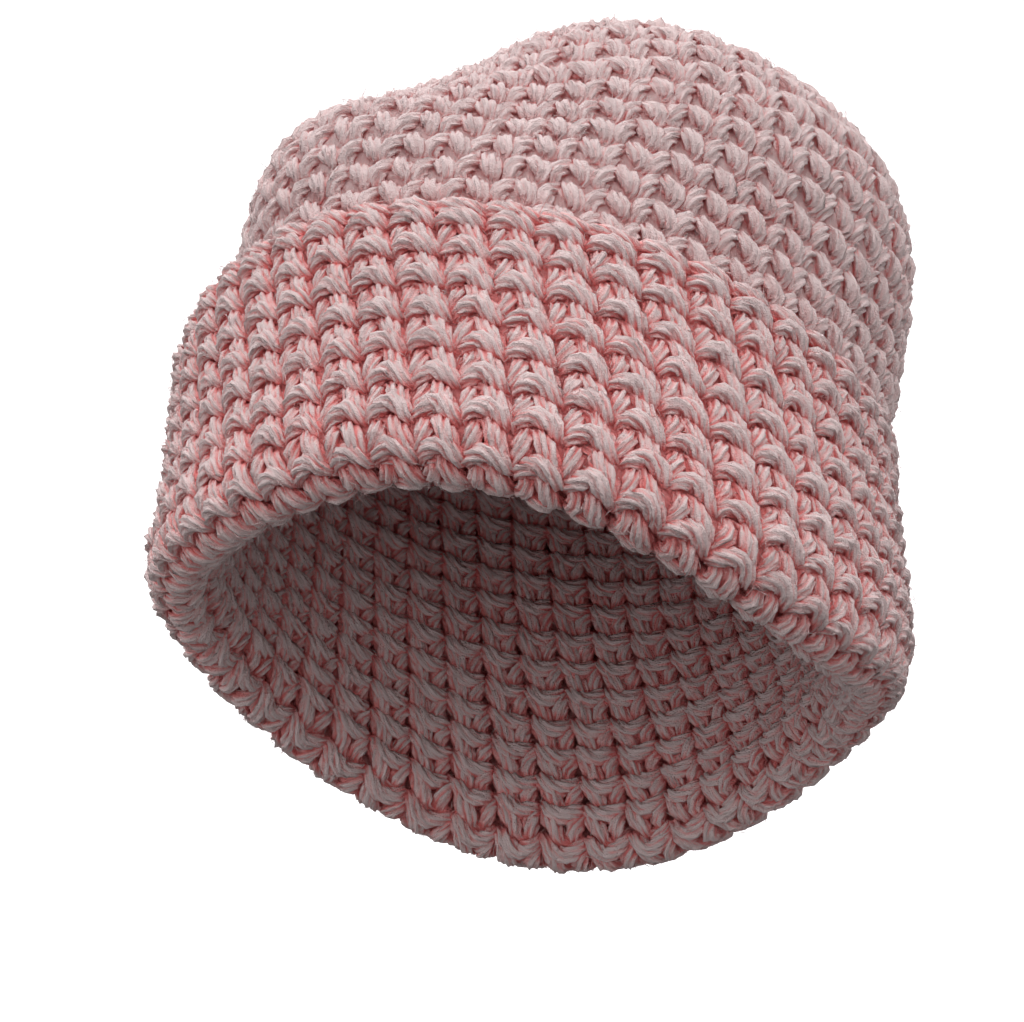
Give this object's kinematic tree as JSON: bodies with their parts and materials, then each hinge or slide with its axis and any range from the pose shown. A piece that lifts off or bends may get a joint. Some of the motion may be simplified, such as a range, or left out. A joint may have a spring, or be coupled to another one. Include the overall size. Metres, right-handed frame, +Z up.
{
  "type": "crochet beanie",
  "caption": "Soft crocheted beanie hat with a turned-up cuff, worked in rounds of single crochet, in its pose on a small head.",
  "frame": {"origin": "centre of the head that wears the beanie", "axes": "+Z up along the head, -Y to the front, +X to the right seen from the front; the beanie is tilted back on the head"},
  "size_m": [0.1519, 0.1724, 0.1714],
  "materials": {
    "yarn": "fluffy pale pink acrylic yarn, plied, matt"
  },
  "bodies": {
    "root": {"crown_round_01": "yarn", "crown_round_02": "yarn", "crown_round_03": "yarn", "crown_round_04": "yarn", "crown_round_05": "yarn", "crown_round_06": "yarn", "crown_round_07": "yarn", "crown_round_08": "yarn", "crown_round_09": "yarn", "crown_round_10": "yarn", "crown_round_11": "yarn", "crown_round_12": "yarn", "side_round_01": "yarn", "side_round_02": "yarn", "side_round_03": "yarn", "side_round_04": "yarn", "side_round_05": "yarn", "side_round_06": "yarn", "side_round_07": "yarn", "side_round_08": "yarn", "side_round_09": "yarn", "side_round_10": "yarn", "side_round_11": "yarn", "side_round_12": "yarn", "side_round_13": "yarn", "side_round_14": "yarn", "side_round_15": "yarn", "side_round_16": "yarn", "fold_round": "yarn", "cuff_round_01": "yarn", "cuff_round_02": "yarn", "cuff_round_03": "yarn", "cuff_round_04": "yarn", "cuff_round_05": "yarn", "cuff_round_06": "yarn", "cuff_round_07": "yarn", "cuff_edging": "yarn", "start_loop": "yarn", "start_tail": "yarn", "finish_tail": "yarn"}
  },
  "joints": []
}
